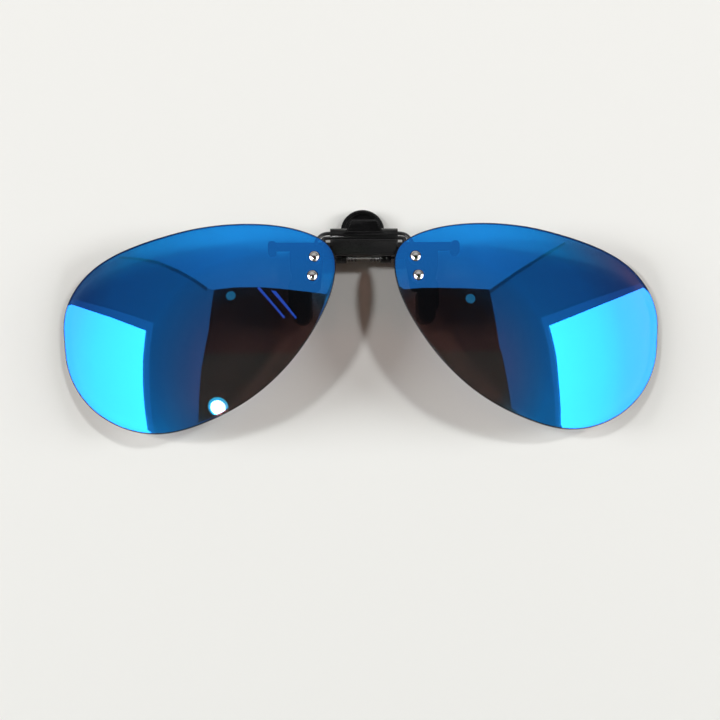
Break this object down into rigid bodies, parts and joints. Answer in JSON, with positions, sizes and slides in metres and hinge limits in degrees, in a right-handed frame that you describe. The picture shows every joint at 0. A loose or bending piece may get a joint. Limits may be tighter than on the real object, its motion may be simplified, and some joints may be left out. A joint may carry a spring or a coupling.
{
  "type": "clip-on sunglasses",
  "caption": "Flip-up clip-on sunglasses: mirror-coated aviator lenses on wire hairpins, a moulded hinge block and a spring-loaded clip with a round thumb disc",
  "frame": {"origin": "middle of the footprint, on the table plane that the thumb disc and rear sleeves rest on", "axes": "+X along the width, +Y towards the brow edge, +Z out of the front of the lenses"},
  "size_m": [0.1338, 0.0505, 0.0123],
  "materials": {
    "mirror_lens": "blue mirror coating on dark polycarbonate",
    "polished_screw": "polished",
    "clear_washer": "clear nylon",
    "dark_steel": "black coated sheet steel",
    "coated_wire": "glossy black coating",
    "black_plastic": "fine moulded satin",
    "gloss_cover": "satin gloss",
    "black_rubber": "soft matt",
    "spring_steel": "drawn wire"
  },
  "bodies": {
    "rear_clip": {"rear_jaw": "black_plastic", "pivot_pin": "spring_steel", "jaw_spring": "spring_steel", "rear_leg_left": "dark_steel", "rear_leg_right": "dark_steel", "rear_sleeve_left": "black_rubber", "rear_sleeve_right": "black_rubber"},
    "front_clip": {"front_jaw": "black_plastic", "front_cover": "gloss_cover", "detent_spring": "spring_steel", "front_leg_left": "dark_steel", "front_leg_right": "dark_steel", "front_sleeve_left": "black_rubber", "front_sleeve_right": "black_rubber", "brow_tip_left": "black_rubber", "brow_tip_right": "black_rubber"},
    "lens_flip": {"flip_axle": "black_plastic", "wire_loop_left": "coated_wire", "wire_loop_right": "coated_wire", "bracket_left": "dark_steel", "bracket_right": "dark_steel", "lens_washers_left": "clear_washer", "lens_washers_right": "clear_washer", "lens_nuts_left": "dark_steel", "lens_nuts_right": "dark_steel", "lens_left": "mirror_lens", "lens_right": "mirror_lens", "lens_screws_left": "polished_screw", "lens_screws_right": "polished_screw"}
  },
  "joints": [
    {"name": "jaw_pivot", "type": "hinge", "parent": "rear_clip", "child": "front_clip", "pos_m": [0, 0.014, 0.0032], "axis": [-1, 0, 0], "range_deg": [0, 24], "stiffness_Nm_per_rad": 0.043, "springref_deg": -24.06, "deforming": ["jaw_spring"]},
    {"name": "flip_hinge", "type": "hinge", "parent": "front_clip", "child": "lens_flip", "pos_m": [0, 0.01845, 0.006], "axis": [-1, 0, 0], "range_deg": [0, 90], "deforming": ["detent_spring"]}
  ]
}
